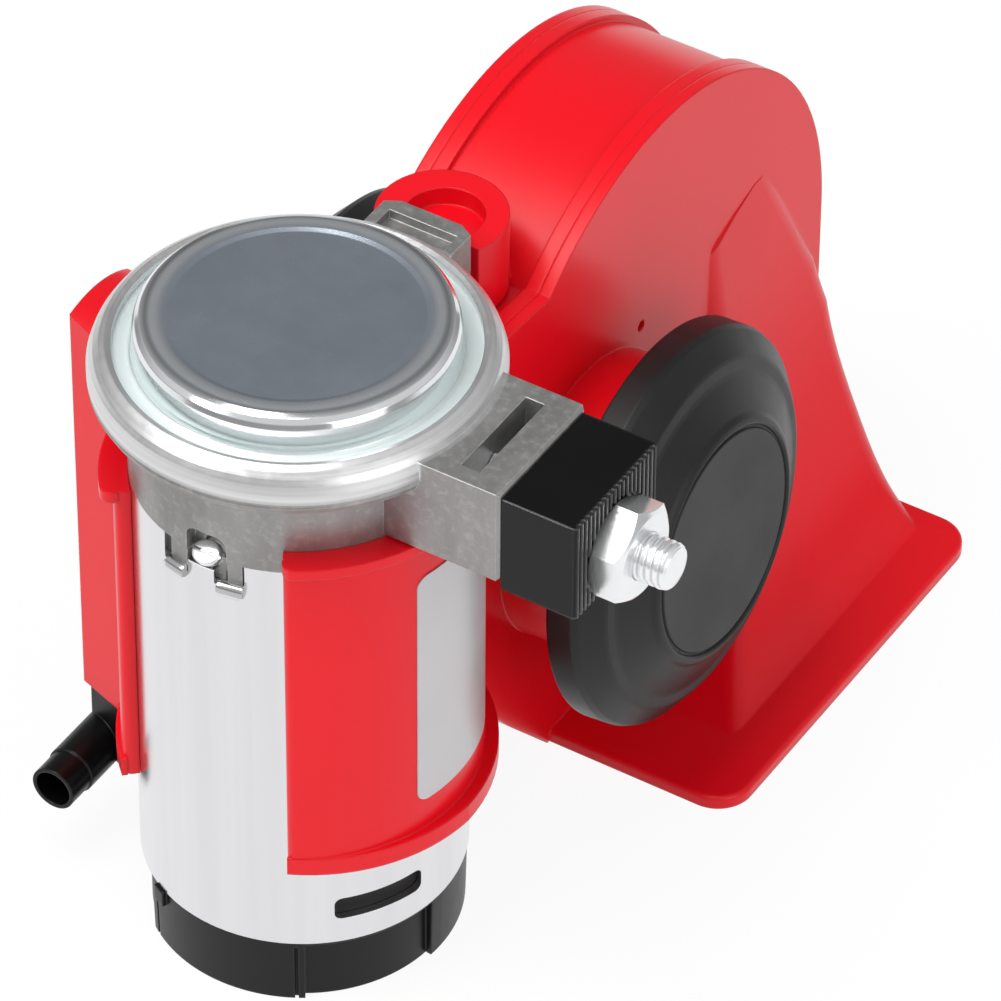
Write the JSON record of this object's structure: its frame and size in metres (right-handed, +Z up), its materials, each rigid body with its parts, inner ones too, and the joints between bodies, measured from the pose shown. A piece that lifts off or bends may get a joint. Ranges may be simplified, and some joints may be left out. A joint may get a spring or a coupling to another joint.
{
  "type": "car horn",
  "caption": "Compact air horn: an upright motor compressor held in a moulded clip, feeding a snail-shaped double horn with a downward mouth, side tone discs and a stud mount.",
  "frame": {"origin": "middle of the underside of the bounding box, on the plane that the mouth flange and the compressor's cap stand on", "axes": "+Z up along the compressor's axis, +Y from the compressor towards the horn, +X along the mounting stud"},
  "size_m": [0.1208, 0.1712, 0.1235],
  "materials": {
    "can_steel": "satin",
    "black_plastic": "matt",
    "black_rubbery": "satin",
    "tinned_brass": "satin",
    "bright_steel": "satin",
    "lamination": "rough",
    "copper": "satin",
    "ferrite": "matt",
    "carbon": "matt",
    "bronze": "satin",
    "cast_zinc": "as cast",
    "wheel_plastic": "matt",
    "seal_rubber": "matt",
    "lid_steel": "bright",
    "zinc_plate": "bright",
    "red_plastic": "gloss",
    "foam": "matt",
    "label_film": "satin"
  },
  "bodies": {
    "horn": {"motor_can": "can_steel", "bottom_cap": "black_plastic", "terminal_front": "tinned_brass", "terminal_rear": "tinned_brass", "magnet_left": "ferrite", "magnet_right": "ferrite", "brush_holder": "black_plastic", "brush_left": "carbon", "brush_right": "carbon", "lower_bush": "bronze", "upper_bush": "bronze", "head_casting": "cast_zinc", "head_screw_front": "bright_steel", "head_screw_rear": "bright_steel", "pump_plate": "bright_steel", "lid_gasket": "seal_rubber", "pump_lid": "lid_steel", "mounting_block": "black_plastic", "mounting_bolt": "zinc_plate", "mounting_nut": "zinc_plate", "horn_body": "red_plastic", "outlet_seal": "seal_rubber", "intake_elbow": "black_plastic", "intake_filter": "foam", "label": "label_film", "horn_cover_right": "red_plastic", "horn_cover_left": "red_plastic", "diaphragm_right": "bright_steel", "diaphragm_left": "bright_steel", "clamp_ring_right": "black_plastic", "clamp_ring_left": "black_plastic", "disc_cover_right": "black_rubbery", "disc_cover_left": "black_rubbery"},
    "armature": {"motor_shaft": "bright_steel", "armature_core": "lamination", "armature_winding": "copper", "commutator": "copper", "pump_wheel": "wheel_plastic"}
  },
  "joints": [
    {"name": "armature_spin", "type": "hinge", "parent": "horn", "child": "armature", "pos_m": [-0.0091, -0.05265, 0.06], "axis": [0, 0, 1], "continuous": true}
  ]
}
